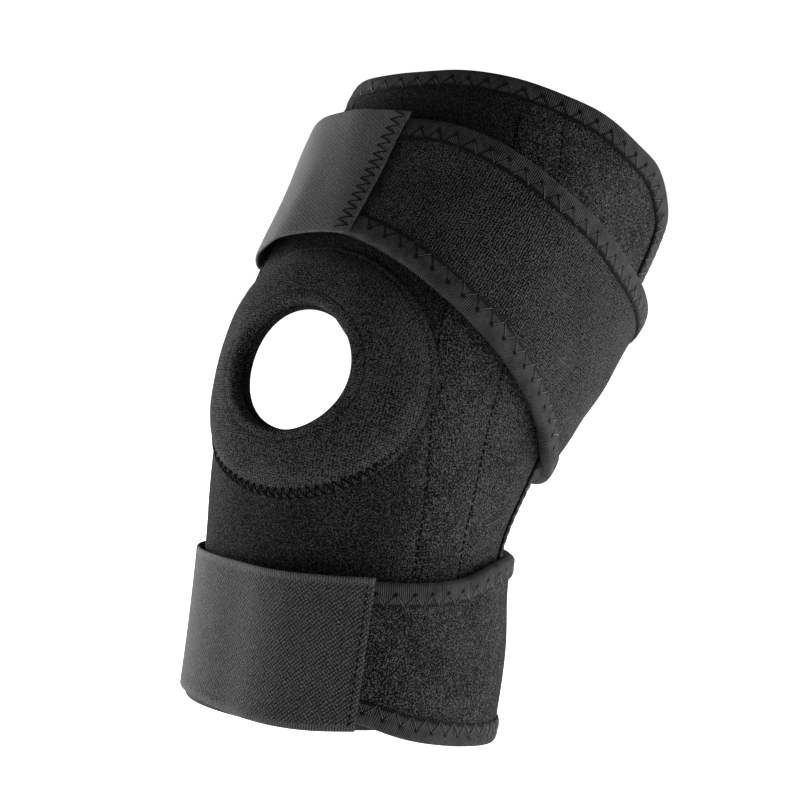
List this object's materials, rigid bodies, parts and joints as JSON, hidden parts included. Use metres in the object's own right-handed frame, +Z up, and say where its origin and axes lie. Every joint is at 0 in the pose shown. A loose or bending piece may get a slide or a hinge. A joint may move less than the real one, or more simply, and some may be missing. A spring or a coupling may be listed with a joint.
{
  "type": "knee brace",
  "caption": "Open-patella wrap knee brace, half bent as worn: bound foam-cloth panel, padded ring round the opening, and thigh and calf wings closed by elastic straps.",
  "frame": {"origin": "middle of the knee, inside the brace, on the bent axis of the leg", "axes": "+Z up along the standing leg, -Y towards the front of the knee, +X towards the side where the wings come forward"},
  "size_m": [0.1536, 0.229, 0.2785],
  "materials": {
    "loop_faced_neoprene": "black foam cloth with a fuzzy loop face",
    "pad_jersey": "smooth black jersey over soft padding",
    "wing_knit": "black knit with fine slanted wales",
    "binding_tape": "black ribbed edge binding, zigzag stitched",
    "thigh_webbing": "dark grey elastic webbing with a fine slanted weave",
    "calf_webbing": "dark grey coarse elastic webbing with ribbed selvedges",
    "hook_tape": "dark hook tape, matt"
  },
  "bodies": {
    "root": {"body_panel": "loop_faced_neoprene", "body_binding": "binding_tape", "patella_ring": "pad_jersey", "thigh_wing": "wing_knit", "thigh_wing_top_binding": "binding_tape", "thigh_wing_bottom_binding": "binding_tape", "thigh_strap": "thigh_webbing", "thigh_hook_pad": "hook_tape", "calf_wing": "loop_faced_neoprene", "calf_wing_top_binding": "binding_tape", "calf_wing_bottom_binding": "binding_tape", "calf_strap": "calf_webbing"}
  },
  "joints": []
}
